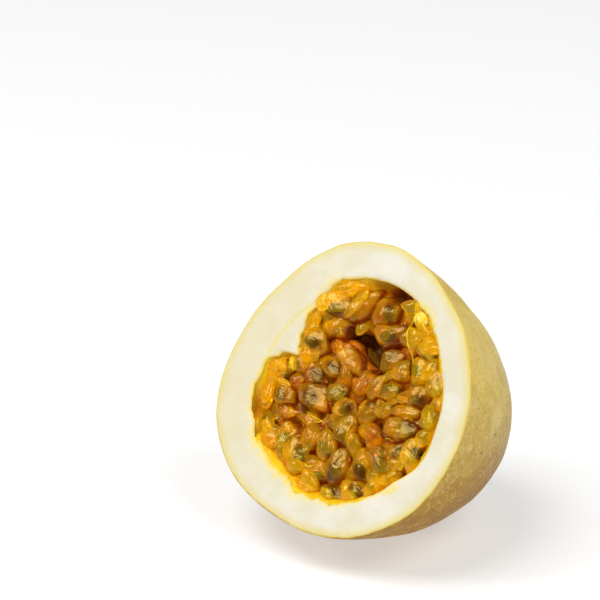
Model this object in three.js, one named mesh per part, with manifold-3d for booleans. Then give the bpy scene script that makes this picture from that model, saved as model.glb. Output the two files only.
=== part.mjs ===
// Half of a yellow passion fruit, cut across and lying on its side with the cut face turned up and forwards.
// Lengths are in millimetres. The fruit is built around its own axis: X to the right and Y up in the cut
// face, Z out of the cut. "Depth" is the distance behind the cut face, so Z = -depth. The fruit group then
// leans the axis over and stands the small flat on the underside at the origin, with +Z up.
import * as THREE from 'three';
import { mergeVertices } from 'three/addons/utils/BufferGeometryUtils.js';
import Module from 'manifold-3d';

const wasm = await Module();
wasm.setup();

const gap = 0.3; // left between pieces that touch

// Whole fruit: widest radius and half of its length, before the harmonics below round it off
const widestRadius = 33.35;
const halfLength = 43.5;
const cutAhead = 4; // the cut lies this far in front of the widest section
const faceTilt = 32.2; // the cut face's normal rises this many degrees above the horizontal

// How the outline differs from a circle: a skewed oval with three flats at the cut, an oval at mid-depth
// and a slight lean
const rimOval = 0.0094;
const rimSkew = 0.0293;
const rimTriangle = 0.032;
const rimSquare = 0.0074;
const middleOval = 0.0507;
const middleSkew = 0.0237;
const leanLeft = 2.39;
const leanUp = 0.46;

// Rind: skin and white pith as one wall
const wallThickness = 7;
const poleWall = 8;
const wallSettles = 9; // below this depth the wall has its plain thickness
const skinPole = halfLength + cutAhead; // depth of the skin's closed end
const cavityPole = skinPole - poleWall; // depth of the cavity's bottom
const upperWallDepths = [0, 1.8, 4.2]; // rings of the cavity wall above the bed
const around = 48; // segments round the rind and the pulp bed
const restDepth = 0.6; // the flat spot is pressed this deep into the underside
const poleDimple = { depth: 0.9, radius: 5 };
// The pith's inner edge at the cut: [degrees anticlockwise from +X, radius]. It swells inwards at 160.
const pithEdge = [
  [0, 26.3], [30, 24.7], [60, 25.4], [90, 25.8], [112, 25.7], [126, 24.0], [138, 21.8], [149, 19.1],
  [156, 17.3], [162, 16.1], [168, 20.2], [178, 22.9], [200, 24.5], [222, 23.6], [245, 22.9], [270, 24.6],
  [292, 25.8], [320, 26.2], [338, 27.6],
];

const bedDepth = 6.4; // the top of the deeper pulp
const sacSwell = 1.22; // how much wider a sac would be if nothing pressed on it
const sacHeight = 0.95; // a juice sac's height against its width
const sacsStandProud = 0.4; // the fullest sacs rise this far above the cut
const sacTaper = 0.2; // how much fuller its seed end is

// Juice sacs around the seeds: [x, y, depth of the middle, direction of the seed end, length, width]
const sacs = [
  // upper left
  [-9.6, 18.1, 2.9, 190, 9.4, 6.2],
  [-3.6, 19.7, 2.5, 235, 9.2, 4.6],
  [-8.8, 13.5, 3.2, 18, 8, 3.6],
  [-14.8, 15, 3.2, 75, 6.4, 3.4],
  [-12.8, 9.1, 2.9, 345, 7.4, 5.4],
  [-7, 22.5, 3.4, 22, 6.4, 3],
  [-3, 7.3, 3.6, 330, 10, 4.4],
  [-6.4, 4.4, 3, 345, 8, 3.4],
  [-9.8, 1.4, 2.9, 345, 6.6, 4],
  [-14.4, 3.3, 2.6, 85, 4.6, 3.6],
  [-19.3, 0.7, 2.8, 340, 6.6, 3.8],
  // lower left
  [-14.1, -0.9, 2.4, 20, 3.8, 2.8],
  [-16.2, -4.4, 2.7, 342, 8, 4.2],
  [-21.1, -4, 3.4, 88, 5, 3],
  [-8.3, -3, 3.1, 333, 10.6, 6],
  [-15.4, -7.6, 3, 350, 6, 2.6],
  [-11.6, -13.2, 2.7, 245, 7, 4.2],
  [-15.4, -14, 3.2, 325, 6.2, 4.2],
  [-7.4, -16.1, 2.6, 314, 9, 4.4],
  [-7.8, -8.1, 2.8, 346, 5.4, 3],
  [-5.2, -11.7, 2.6, 250, 6.4, 3.8],
  [-1.4, -18.3, 2.8, 358, 8, 3.2],
  [-2.6, -22, 3, 346, 6.8, 2.8],
  // middle
  [-2.4, -0.9, 2.6, 200, 4.8, 4],
  [0.6, -3.5, 2.5, 350, 6.6, 3.8],
  [3.8, 3, 2.6, 255, 7, 3.4],
  [7.1, 2.7, 2.5, 70, 6, 3.5],
  [10.7, 2.5, 2.5, 42, 8, 3.4],
  [7, -1.9, 3.8, 30, 4, 3.4],
  [10.2, -0.9, 3, 320, 5, 3.4],
  [3.1, -8.2, 2.5, 266, 7.6, 4.2],
  [-0.8, -7.2, 3, 335, 4.4, 3.2],
  [-0.4, -12.4, 2.5, 288, 7, 4.2],
  [0.6, 10.4, 4.9, 335, 8.4, 3],
  // upper right
  [5, 14.2, 2.5, 40, 9, 4.8],
  [3.1, 19.3, 3.1, 38, 9.4, 6],
  [8.3, 20.6, 3.8, 310, 4.6, 3.6],
  [12.5, 15.7, 3.4, 300, 8, 4.8],
  [12.9, 19, 3.2, 318, 7.2, 3.2],
  [16.8, 14.1, 2.7, 342, 6.6, 4.2],
  [16.2, 8.8, 3.8, 325, 8.6, 4.8],
  [12.2, 7.7, 2.6, 30, 5, 4],
  [7.6, 9, 2.6, 20, 7.6, 4],
  [21.6, 7.4, 3, 298, 7.6, 4.2],
  // right
  [17.1, 3, 2.5, 18, 9, 3.6],
  [16.4, -0.4, 2.6, 18, 8, 2.6],
  [23.4, 2.8, 3.4, 80, 4, 3.6],
  [23.2, -0.9, 2.6, 60, 4.6, 4.2],
  [16.3, -4.3, 2.8, 12, 9, 5],
  [21.9, -9.1, 2.8, 105, 7.8, 5],
  [18.1, -9.5, 2.8, 62, 5, 3.8],
  // lower right
  [14.3, -12.2, 2.8, 320, 8.8, 4.6],
  [10.2, -13.9, 2.6, 294, 8, 4],
  [15.7, -16.1, 3.9, 320, 6, 3.4],
  [4.3, -16, 2.8, 274, 8, 4.8],
  [11.1, -20, 2.8, 184, 8.6, 3.8],
  [5, -22.3, 3, 0, 7.4, 3.4],
];

// A triangulated solid from a closed three.js geometry
function toSolid(geometry) {
  const bare = geometry.clone();
  bare.deleteAttribute('normal');
  bare.deleteAttribute('uv');
  const merged = mergeVertices(bare, 1e-4);
  const mesh = new wasm.Mesh({
    numProp: 3,
    vertProperties: new Float32Array(merged.getAttribute('position').array),
    triVerts: new Uint32Array(merged.index.array),
  });
  return new wasm.Manifold(mesh);
}

function toGeometry(solid) {
  const mesh = solid.getMesh();
  const geometry = new THREE.BufferGeometry();
  geometry.setAttribute('position', new THREE.BufferAttribute(mesh.vertProperties, 3));
  geometry.setIndex(new THREE.BufferAttribute(mesh.triVerts, 1));
  geometry.computeVertexNormals();
  return geometry;
}

// Radius of the pith's inner edge at an angle: a cosine blend between the two nearest points of the list
function pithEdgeRadius(angle) {
  const degrees = (THREE.MathUtils.radToDeg(angle) + 360) % 360;
  const next = pithEdge.findIndex((point) => point[0] > degrees);
  const after = next < 0 ? [360, pithEdge[0][1]] : pithEdge[next];
  const before = next < 0 ? pithEdge[pithEdge.length - 1] : pithEdge[next - 1];
  const part = (degrees - before[0]) / (after[0] - before[0]);
  return THREE.MathUtils.lerp(before[1], after[1], (1 - Math.cos(part * Math.PI)) / 2);
}

// Shape of the skin at an angle and depth: the radius from the leaning centre line, and that centre
function skinSection(angle, depth) {
  const share = depth / skinPole;
  const bulge = 4 * share * (1 - share);
  const corners = -rimTriangle * Math.sin(3 * angle) + rimSquare * Math.sin(4 * angle);
  const ring = 1 + rimOval * Math.cos(2 * angle) - rimSkew * Math.sin(2 * angle) + corners;
  const oval = middleOval * Math.cos(2 * angle) + middleSkew * Math.sin(2 * angle);
  const along = (depth - cutAhead) / halfLength;
  const round = widestRadius * Math.sqrt(Math.max(0, 1 - along * along));
  return {
    radius: round * (1 + (ring - 1) * (1 - share) + bulge * oval),
    centre: new THREE.Vector2(-leanLeft * bulge, leanUp * bulge),
  };
}

// The cavity wall: the skin's section less a wall that goes from its thickness at the cut to the plain one
function cavitySection(angle, depth) {
  const skin = skinSection(angle, depth);
  const edgeWall = skinSection(angle, 0).radius - pithEdgeRadius(angle);
  const settled = THREE.MathUtils.smoothstep(depth, 0, wallSettles);
  const wall = THREE.MathUtils.lerp(edgeWall, wallThickness, settled);
  const close = Math.sqrt(Math.max(0, 1 - (depth / cavityPole) ** 4));
  return { radius: (skin.radius - wall) * close, centre: skin.centre };
}

// A closed lathe whose rings are reshaped: section(angle, depth) gives each ring's radius and centre
function shapedLathe(rings, segments) {
  const profile = rings.map((ring, i) => new THREE.Vector2(ring.pole ? 0 : 1, i));
  const geometry = new THREE.LatheGeometry(profile, segments);
  const position = geometry.getAttribute('position');
  for (let i = 0; i < position.count; i++) {
    const ring = rings[i % rings.length];
    const angle = (2 * Math.PI * (Math.floor(i / rings.length) % segments)) / segments;
    const { radius, centre } = ring.section(angle, ring.depth);
    const reach = ring.pole ? 0 : radius + (ring.grow ?? 0);
    const x = centre.x + reach * Math.cos(angle);
    const y = centre.y + reach * Math.sin(angle);
    position.setXYZ(i, x, y, -ring.depth + (ring.sink ? ring.sink(reach) : 0));
  }
  return geometry;
}

// Depths from a pole up to a level, closer together near the pole so that the rounded end stays round
function depthsFromPole(poleDepth, topDepth, count) {
  return Array.from({ length: count }, (_, i) => {
    const turn = (i / count) * (Math.PI / 2);
    return topDepth + (poleDepth - topDepth) * Math.cos(turn);
  });
}

// The cavity from its bottom up to the top of the bed
function deepRings() {
  return [...depthsFromPole(cavityPole, bedDepth, 9), bedDepth].map((depth, i) => (
    { depth, section: cavitySection, pole: i === 0 }
  ));
}

function rindGeometry() {
  const dimple = (reach) => poleDimple.depth * Math.exp(-((reach / poleDimple.radius) ** 2));
  const skin = depthsFromPole(skinPole, 0, 14).map((depth, i) => (
    { depth, section: skinSection, pole: i === 0, sink: dimple }
  ));
  const skinRim = { depth: 0, section: skinSection };
  const upperWall = upperWallDepths.map((depth) => ({ depth, section: cavitySection }));
  return shapedLathe([...skin, skinRim, ...upperWall, ...deepRings().reverse()], around);
}

// The bed's wall is the cavity's own, drawn in and lifted clear of it
function pulpBedGeometry() {
  const drawnIn = { grow: -2 * gap, sink: () => gap };
  const middle = { depth: bedDepth, section: cavitySection, pole: true };
  return shapedLathe([...deepRings(), middle].map((ring) => ({ ...ring, ...drawnIn })), around);
}

// The dried stub of the stalk: a low collar and a short peg with a rounded broken end
function stemStubGeometry() {
  const outline = [[0, 0], [2.6, 0], [3.4, 0.5], [3.1, 1.2], [1.9, 1.7], [1.7, 3.2], [1.3, 3.9], [0, 4.1]];
  const geometry = new THREE.LatheGeometry(outline.map(([x, y]) => new THREE.Vector2(x, y)), 16);
  geometry.rotateX(-Math.PI / 2);
  return geometry.translate(0, 0, -(skinPole - poleDimple.depth + gap));
}

// One sac as a frame of reference: its middle, its three directions and its half sizes
function sacFrame([x, y, depth, degrees, length, width]) {
  const angle = THREE.MathUtils.degToRad(degrees);
  const turn = new THREE.Matrix4().makeRotationZ(angle);
  const axes = [new THREE.Vector3(), new THREE.Vector3(), new THREE.Vector3()];
  turn.extractBasis(...axes);
  const wide = width * sacSwell;
  const half = [length / 2, wide / 2, (wide * sacHeight) / 2];
  return { middle: new THREE.Vector3(x, y, -depth), turn, axes, half };
}

// A pear-like lathe along the sac's own axis: its radius is that of an ellipse, fuller towards the seed
function sacGeometry(frame) {
  const steps = 6;
  const profile = Array.from({ length: steps + 1 }, (_, i) => {
    const turn = (i / steps) * Math.PI;
    const pole = i === 0 || i === steps;
    const along = -Math.cos(turn);
    return new THREE.Vector2(pole ? 0 : Math.sin(turn) * (1 + sacTaper * along * 0.5), along);
  });
  const geometry = new THREE.LatheGeometry(profile, 8);
  geometry.rotateZ(-Math.PI / 2);
  geometry.scale(...frame.half);
  geometry.applyMatrix4(frame.turn);
  return geometry.translate(frame.middle.x, frame.middle.y, frame.middle.z);
}

// How far a sac reaches from its middle in a direction, with the fuller end counted all round
function reachOf(frame, direction) {
  const parts = frame.axes.map((axis, i) => frame.half[i] * axis.dot(direction));
  return Math.hypot(...parts) * (1 + sacTaper / 4);
}

// A block that fills the space past a plane, to cut away what lies there
function blockPast(point, normal) {
  const size = 40;
  const block = new THREE.BoxGeometry(size, size, size).translate(0, 0, size / 2);
  block.applyQuaternion(new THREE.Quaternion().setFromUnitVectors(new THREE.Vector3(0, 0, 1), normal));
  return toSolid(block.translate(point.x, point.y, point.z));
}

// The room that the sacs share: the cavity above the bed, drawn in by the gap
function sacRoom() {
  const depths = [-sacsStandProud, ...upperWallDepths, bedDepth - 2 * gap].reverse();
  const rings = depths.map((depth) => ({ depth, section: cavitySection, grow: -gap }));
  const floor = { ...rings[0], pole: true };
  const ceiling = { ...rings[rings.length - 1], pole: true };
  return toSolid(shapedLathe([floor, ...rings, ceiling], around));
}

// Sacs that press on each other flatten where they meet: a plane parts each pair, with the gap between
function pressedSacs() {
  const frames = sacs.map(sacFrame);
  const room = sacRoom();
  const solids = frames.map((frame) => toSolid(sacGeometry(frame)).intersect(room));
  for (let i = 0; i < frames.length; i++) {
    for (let j = i + 1; j < frames.length; j++) {
      const between = frames[j].middle.clone().sub(frames[i].middle);
      const distance = between.length();
      const towards = between.normalize();
      const reach = [reachOf(frames[i], towards), reachOf(frames[j], towards)];
      if (reach[0] + reach[1] + gap < distance) continue;
      const share = reach[0] / (reach[0] + reach[1]);
      const meeting = frames[i].middle.clone().addScaledVector(towards, share * distance);
      const nearSide = meeting.clone().addScaledVector(towards, -gap / 2);
      const farSide = meeting.clone().addScaledVector(towards, gap / 2);
      solids[i] = solids[i].subtract(blockPast(nearSide, towards));
      solids[j] = solids[j].subtract(blockPast(farSide, towards.clone().negate()));
    }
  }
  return solids.map(toGeometry);
}

const materials = {
  rind: new THREE.MeshStandardMaterial({ color: 0xe3cf8a, roughness: 0.45, metalness: 0 }),
  pulp: new THREE.MeshStandardMaterial({ color: 0xd08a10, roughness: 0.2, metalness: 0 }),
  juice: new THREE.MeshStandardMaterial({ color: 0xe0a020, roughness: 0.1, metalness: 0 }),
  stub: new THREE.MeshStandardMaterial({ color: 0x6b4a2a, roughness: 0.85, metalness: 0 }),
};

function piece(name, geometry, material) {
  const mesh = new THREE.Mesh(geometry, material);
  mesh.name = name;
  return mesh;
}

const fruit = new THREE.Group();
fruit.rotation.x = THREE.MathUtils.degToRad(90 - faceTilt);
fruit.updateMatrix();

// The lowest point of the leaning skin, which the flat spot is pressed into
function lowestPoint(geometry) {
  const position = geometry.getAttribute('position');
  const lowest = new THREE.Vector3(0, 0, Infinity);
  for (let i = 0; i < position.count; i++) {
    const point = new THREE.Vector3().fromBufferAttribute(position, i).applyMatrix4(fruit.matrix);
    if (point.z < lowest.z) lowest.copy(point);
  }
  return lowest;
}

const wholeRind = rindGeometry();
const rest = lowestPoint(wholeRind);
rest.z += restDepth;
const up = new THREE.Vector3(0, 0, 1);
const toFruit = fruit.matrix.clone().invert();
const restInFruit = rest.clone().applyMatrix4(toFruit);
const downInFruit = up.clone().negate().transformDirection(toFruit);
const rind = toSolid(wholeRind).subtract(blockPast(restInFruit, downInFruit));

fruit.add(piece('rind', toGeometry(rind), materials.rind));
fruit.add(piece('pulp_bed', pulpBedGeometry(), materials.pulp));
fruit.add(piece('stem_stub', stemStubGeometry(), materials.stub));
pressedSacs().forEach((geometry, i) => {
  fruit.add(piece(`juice_sac_${String(i + 1).padStart(2, '0')}`, geometry, materials.juice));
});
fruit.position.copy(rest).negate();

const group = new THREE.Group();
group.add(fruit);

export default group;
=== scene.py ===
# Half of a yellow passion fruit lying on its side: golden skin, white pith, juice sacs round dark seeds.
# Shapes are worked out in millimetres in the fruit's own frame:
# X right and Y up in the cut face, Z out of it.
import math
import bpy
import numpy as np
from mathutils import Matrix, Vector


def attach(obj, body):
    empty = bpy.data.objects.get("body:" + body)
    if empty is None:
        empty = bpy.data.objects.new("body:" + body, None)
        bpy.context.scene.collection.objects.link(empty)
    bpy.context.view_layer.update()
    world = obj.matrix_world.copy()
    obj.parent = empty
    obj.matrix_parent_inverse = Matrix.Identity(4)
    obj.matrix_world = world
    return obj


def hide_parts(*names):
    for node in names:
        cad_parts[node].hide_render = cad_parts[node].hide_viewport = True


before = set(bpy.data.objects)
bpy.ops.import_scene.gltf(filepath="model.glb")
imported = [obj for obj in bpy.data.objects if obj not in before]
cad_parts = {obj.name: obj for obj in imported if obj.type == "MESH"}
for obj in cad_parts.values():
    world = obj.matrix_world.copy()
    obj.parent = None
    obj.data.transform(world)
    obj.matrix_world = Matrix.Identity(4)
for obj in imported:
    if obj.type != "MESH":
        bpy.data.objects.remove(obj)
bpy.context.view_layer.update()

fruit = {
    "faceTilt": 32.2,       # degrees that the cut face's normal rises above the horizontal
    "widestRadius": 33.35,
    "halfLength": 43.5,
    "cutAhead": 4.0,        # the cut lies this far in front of the widest section
    "rimOval": 0.0094,
    "rimSkew": 0.0293,
    "rimTriangle": 0.032,
    "rimSquare": 0.0074,
    "middleOval": 0.0507,
    "middleSkew": 0.0237,
    "leanLeft": 2.39,
    "leanUp": 0.46,
    "wallThickness": 7.0,
    "wallSettles": 9.0,
    "poleWall": 8.0,
    "dimpleDepth": 0.9,
    "dimpleRadius": 5.0,
}
skinPole = fruit["halfLength"] + fruit["cutAhead"]
cavityPole = skinPole - fruit["poleWall"]

tilt = math.radians(fruit["faceTilt"])
faceRight = np.array([1.0, 0.0, 0.0])
faceUp = np.array([0.0, math.sin(tilt), math.cos(tilt)])
faceOut = np.array([0.0, -math.cos(tilt), math.sin(tilt)])
toRow = np.stack([faceRight, faceUp, faceOut])


def nodeMesh(name):
    # corner points of a CAD node's triangles, in millimetres in the row frame: (triangles, 3 corners, xyz)
    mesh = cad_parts[name].data
    points = np.empty(len(mesh.vertices) * 3, np.float32)
    mesh.vertices.foreach_get("co", points)
    corners = np.empty(len(mesh.loops), np.int32)
    mesh.loops.foreach_get("vertex_index", corners)
    return points.reshape(-1, 3)[corners].reshape(-1, 3, 3).astype(float) * 1000


# the fruit's own origin is where the stalk's axis meets the plane of the cut
stubMiddle = nodeMesh("stem_stub").reshape(-1, 3).mean(0)
cutLevel = (nodeMesh("rind").reshape(-1, 3) @ faceOut).max()
origin = stubMiddle + (cutLevel - stubMiddle @ faceOut) * faceOut


def toFruit(points):
    # row millimetres to the fruit's own: across, up and out of the cut face
    return (points - origin) @ toRow.T


def toRowMetres(points):
    # the fruit's millimetres to metres in the row frame
    return (points @ toRow + origin) / 1000


def unit(vectors):
    # each vector divided by its length
    return vectors / np.linalg.norm(vectors, axis=-1, keepdims=True)


def roundAngles(count):
    # evenly spaced angles round an axis, as one row
    return np.linspace(0, 2 * np.pi, count, endpoint=False)[None, :]


def turned(x, y, way):
    # how far a place lies along a direction in the cut face, and how far to its left
    return x * math.cos(way) + y * math.sin(way), y * math.cos(way) - x * math.sin(way)


def smoothStep(low, high, value):
    # 0 below low, 1 above high, and 3t^2 - 2t^3 between
    t = np.clip((value - low) / (high - low), 0, 1)
    return t * t * (3 - 2 * t)


def ramp(value, low, high, amount):
    # a smooth step that rises to an amount
    return amount * smoothStep(low, high, value)


def waves(points, wavelength, seed, count=28):
    # sum of sine waves in random directions, each about one wavelength long, scaled to a spread of 1
    rng = np.random.default_rng(seed)
    heading = unit(rng.normal(size=(count, 3)))
    heading *= 2 * np.pi / (wavelength * rng.uniform(0.65, 1.5, (count, 1)))
    phase = rng.uniform(0, 2 * np.pi, count)
    return np.sin(points @ heading.T + phase).sum(-1) / math.sqrt(count / 2)


def folds(points, wavelength, seed):
    # thin raised creases where the waves change sign: 1 on the crease, falling to 0 away from it
    return np.clip(1 - np.abs(waves(points, wavelength, seed)), 0, 1) ** 2


def poled(grid):
    # a grid's points or values in vertex order: one for the first row, the middle rows, one for the last
    return np.concatenate([grid[:1, 0], grid[1:-1].reshape(-1, *grid.shape[2:]), grid[-1:, 0]])


def closedPiece(points, marks=None):
    # points (rows, columns, 3) that close round their columns, with a pole at the first and last rows:
    # a vertex for each point and each pole, quads between the rows, and a fan of triangles at each pole
    rows, columns = points.shape[:2]
    row, column = np.meshgrid(np.arange(rows - 3), np.arange(columns), indexing="ij")
    here = 1 + row * columns + column
    beside = 1 + row * columns + (column + 1) % columns
    quads = np.stack([here, beside, beside + columns, here + columns], -1).reshape(-1, 4)
    vertices = poled(points)
    last = len(vertices) - 1
    ring = np.arange(columns)
    following = (ring + 1) % columns
    bottom = np.stack([0 * ring, following + 1, ring + 1], -1)
    top = np.stack([ring, following, columns + 0 * ring], -1) + last - columns
    values = {name: poled(value) for name, value in (marks or {}).items()}
    return vertices, quads, np.concatenate([bottom, top]), values


def addObject(name, data):
    obj = bpy.data.objects.new(name, data)
    bpy.context.scene.collection.objects.link(obj)
    return obj


def meshFrom(name, vertices, quads, triangles, marks):
    # one smooth-shaded mesh object in metres in the row frame, with a float attribute for each mark
    mesh = bpy.data.meshes.new(name)
    mesh.from_pydata(toRowMetres(vertices), [], quads.tolist() + triangles.tolist())
    mesh.shade_smooth()
    for markName, values in marks.items():
        layer = mesh.attributes.new(markName, "FLOAT", "POINT")
        layer.data.foreach_set("value", np.ascontiguousarray(values, np.float32))
    return addObject(name, mesh)


def joined(pieces):
    # several closed pieces as one: each one's faces count on from the vertices before it
    starts = np.cumsum([0] + [len(piece[0]) for piece in pieces])
    vertices = np.concatenate([piece[0] for piece in pieces])
    quads, triangles = [
        np.concatenate([piece[kind] + start for piece, start in zip(pieces, starts)]) for kind in (1, 2)
    ]
    marks = {name: np.concatenate([piece[3][name] for piece in pieces]) for name in pieces[0][3]}
    return vertices, quads, triangles, marks


def finishPiece(obj, material, nodes=()):
    # one material, one slot, on the only body, in place of any CAD nodes that it stands for
    obj.data.materials.append(material)
    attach(obj, "root")
    if nodes:
        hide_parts(*nodes)


# shader helpers: one that is given a socket or a node, and no tree, works in that one's tree

def setInputs(node, inputs):
    # a socket is linked, anything else is set as the input's value
    for key, value in inputs.items():
        if isinstance(value, bpy.types.NodeSocket):
            node.id_data.links.new(value, node.inputs[key])
        else:
            node.inputs[key].default_value = value


def addNode(tree, kind, inputs=None, **settings):
    # a shader node, its settings first because they decide which inputs it has
    node = tree.nodes.new(kind)
    for key, value in settings.items():
        setattr(node, key, value)
    setInputs(node, inputs or {})
    return node


def mixColors(factor, first, second, blend="MIX"):
    # inputs 0, 6 and 7 are the factor and the two colours
    inputs = {0: factor, 6: first, 7: second}
    return addNode(factor.id_data, "ShaderNodeMix", inputs, data_type="RGBA", blend_type=blend).outputs[2]


def layered(color, layers):
    # lays one colour after another over the first: mask, colour and, if not plain, blend
    # a mask is a value from 0 to 1, or what remap makes one from
    for mask, over, *blend in layers:
        if isinstance(mask, tuple):
            mask = remap(*mask)
        color = mixColors(mask, color, rgb(*over), *blend)
    return color


def remap(value, low, high, toLow=0.0, toHigh=1.0):
    # smooth step from one range to the other, held at both ends
    inputs = {"Value": value, "From Min": low, "From Max": high, "To Min": toLow, "To Max": toHigh}
    node = addNode(value.id_data, "ShaderNodeMapRange", inputs, interpolation_type="SMOOTHSTEP")
    return node.outputs[0]


def mathNode(operation, *values):
    # sockets or plain numbers, at least one of them a socket
    tree = next(value.id_data for value in values if isinstance(value, bpy.types.NodeSocket))
    return addNode(tree, "ShaderNodeMath", dict(enumerate(values)), operation=operation).outputs[0]


def times(first, second):
    return mathNode("MULTIPLY", first, second)


def mark(tree, name):
    # a value that the mesh carries at each vertex
    return addNode(tree, "ShaderNodeAttribute", attribute_name=name).outputs["Fac"]


def objectPlace(tree):
    return addNode(tree, "ShaderNodeTexCoord").outputs["Object"]


def noise(place, scale, detail=3.0, roughness=0.5):
    inputs = {"Vector": place, "Scale": scale, "Detail": detail, "Roughness": roughness}
    return addNode(place.id_data, "ShaderNodeTexNoise", inputs).outputs["Fac"]


def rgb(red, green, blue):
    # display colour to scene-linear, with full alpha
    linear = [c / 12.92 if c <= 0.04045 else ((c + 0.055) / 1.055) ** 2.4 for c in (red, green, blue)]
    return (*linear, 1.0)


def newMaterial(name, plain):
    # plain holds the shader's values that are the same all over the surface
    material = bpy.data.materials.new(name)
    material.use_nodes = True
    tree = material.node_tree
    shader = tree.nodes["Principled BSDF"]
    setInputs(shader, plain)
    return material, tree, shader


def bumpFrom(shader, height, strength, distance):
    # fine relief; the distance is in metres
    inputs = {"Height": height, "Strength": strength, "Distance": distance}
    setInputs(shader, {"Normal": addNode(shader.id_data, "ShaderNodeBump", inputs).outputs[0]})


def unevenSurface(tree, wide, fine, share):
    # the mottle group with its own values, which puts out a tone and a height
    values = {"Wide Scale": wide, "Fine Scale": fine, "Fine Share": share}
    group = addNode(tree, "ShaderNodeGroup", values, node_tree=mottle)
    return group.outputs["Tone"], group.outputs["Height"]


def cloudyAmberAndShade(tone, amount):
    # the amber and painted shade mark, made uneven by the tone's distance from its middle
    clouds = times(mathNode("SUBTRACT", tone, 0.5), amount)
    return mathNode("ADD", mark(tone.id_data, "amber"), clouds)


def brownMaterial(name, wide, fine, dark, pale, strength, distance, plain):
    # two browns in fine clouds on an uneven surface
    material, tree, shader = newMaterial(name, plain)
    tone, grain = unevenSurface(tree, wide, fine, 0.5)
    color = mixColors(remap(tone, 0.35, 0.65), rgb(*dark), rgb(*pale))
    setInputs(shader, {"Base Color": color})
    bumpFrom(shader, grain, strength, distance)
    return material


def newGroup(name, inputs, outputs):
    # a shader node group whose inputs and outputs are named: {name: (socket type, default)}
    group = bpy.data.node_groups.new(name, "ShaderNodeTree")
    for key, (kind, default) in inputs.items():
        socket = group.interface.new_socket(name=key, in_out="INPUT", socket_type=kind)
        socket.default_value = default
    for key, kind in outputs.items():
        group.interface.new_socket(name=key, in_out="OUTPUT", socket_type=kind)
    entry = group.nodes.new("NodeGroupInput")
    leave = group.nodes.new("NodeGroupOutput")
    return group, entry.outputs, leave.inputs


def mottleGroup():
    # slow and fast noise mixed to one tone: what makes a grown surface uneven
    group, given, result = newGroup(
        "mottle",
        {"Wide Scale": ("NodeSocketFloat", 90.0), "Fine Scale": ("NodeSocketFloat", 700.0),
         "Fine Share": ("NodeSocketFloat", 0.4)},
        {"Tone": "NodeSocketFloat", "Height": "NodeSocketFloat"},
    )
    place = objectPlace(group)
    wide = noise(place, given["Wide Scale"])
    fine = noise(place, given["Fine Scale"], 4.0, 0.6)
    mixed = addNode(group, "ShaderNodeMix", {0: given["Fine Share"], 2: wide, 3: fine}, data_type="FLOAT")
    group.links.new(mixed.outputs[0], result["Tone"])
    group.links.new(fine, result["Height"])
    return group


mottle = mottleGroup()

# camera, light and floor

camera = {
    "azimuth": 39.27,
    "elevation": 21.0,
    "distance": 550.0,
    "lens": 150.0,
    "sensor": 36.0,
    "imageSize": 600.0,
    "faceCentre": (342.45, 389.72),   # pixel of the render at which the middle of the cut face stands
}


def makeCamera():
    # the lens stays at a set distance from the middle of the cut face and turns to put it at its pixel
    azimuth, elevation = math.radians(camera["azimuth"]), math.radians(camera["elevation"])
    back = Vector((math.sin(azimuth), -math.cos(azimuth), math.tan(elevation))).normalized()
    place = Vector(origin) + back * camera["distance"]
    focal = camera["lens"] / camera["sensor"] * camera["imageSize"]
    down = math.atan((camera["faceCentre"][1] - camera["imageSize"] / 2) / focal)
    aside = math.atan((camera["faceCentre"][0] - camera["imageSize"] / 2) / focal * math.cos(down))
    data = bpy.data.cameras.new("camera")
    data.lens = camera["lens"]
    data.clip_start = 0.01
    obj = addObject("camera", data)
    heading = Matrix.Rotation(azimuth, 4, "Z") @ Matrix.Rotation(math.radians(90) - elevation, 4, "X")
    turn = Matrix.Rotation(aside, 4, "Y") @ Matrix.Rotation(down, 4, "X")
    obj.matrix_world = Matrix.Translation(place / 1000) @ heading @ turn
    bpy.context.scene.camera = obj


studio = {
    "floorTone": (0.56, 0.56, 0.56),
    "floorGlow": 0.50,      # keeps the paper white to its far edge
    "worldStrength": 0.18,
    "floorReach": 3.0,
    # name: azimuth and elevation that the light comes from, distance, size and power
    "lights": {
        "overheadSoftbox": (-20, 64, 1.6, 1.05, 17.5),
        "frontSoftbox": (-38, 34, 1.8, 0.35, 4.0),
        "sideSoftbox": (82, 50, 2.0, 0.9, 12.0),
    },
}


def makeStudio():
    # a white world, three soft lights round the fruit and a sheet of paper under it
    world = bpy.data.worlds.new("studio")
    world.use_nodes = True
    sky = {"Color": (1, 1, 1, 1), "Strength": studio["worldStrength"]}
    setInputs(world.node_tree.nodes["Background"], sky)
    scene = bpy.context.scene
    scene.world = world
    scene.view_settings.view_transform = "Standard"
    target = Vector((0, 0, 0.03))
    for name, (azimuth, elevation, distance, size, power) in studio["lights"].items():
        a, e = math.radians(azimuth), math.radians(elevation)
        data = bpy.data.lights.new(name, "AREA")
        data.shape = "DISK"
        data.size = size
        data.energy = power
        light = addObject(name, data)
        away = Vector((math.sin(a) * math.cos(e), -math.cos(a) * math.cos(e), math.sin(e)))
        light.location = target + away * distance
        light.rotation_euler = away.to_track_quat("Z", "Y").to_euler()
    reach = studio["floorReach"]
    corners = [(-reach, -reach, 0), (reach, -reach, 0), (reach, reach, 0), (-reach, reach, 0)]
    mesh = bpy.data.meshes.new("floor")
    mesh.from_pydata(corners, [], [(0, 1, 2, 3)])
    mesh.materials.append(newMaterial("floorPaper", {
        "Base Color": (*studio["floorTone"], 1),
        "Roughness": 0.9,
        "Emission Color": (1, 1, 1, 1),
        "Emission Strength": studio["floorGlow"],
    })[0])
    addObject("floor", mesh)


makeCamera()
makeStudio()
print("camera and studio ready")

# rind: skin and pith in one closed shell

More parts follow.
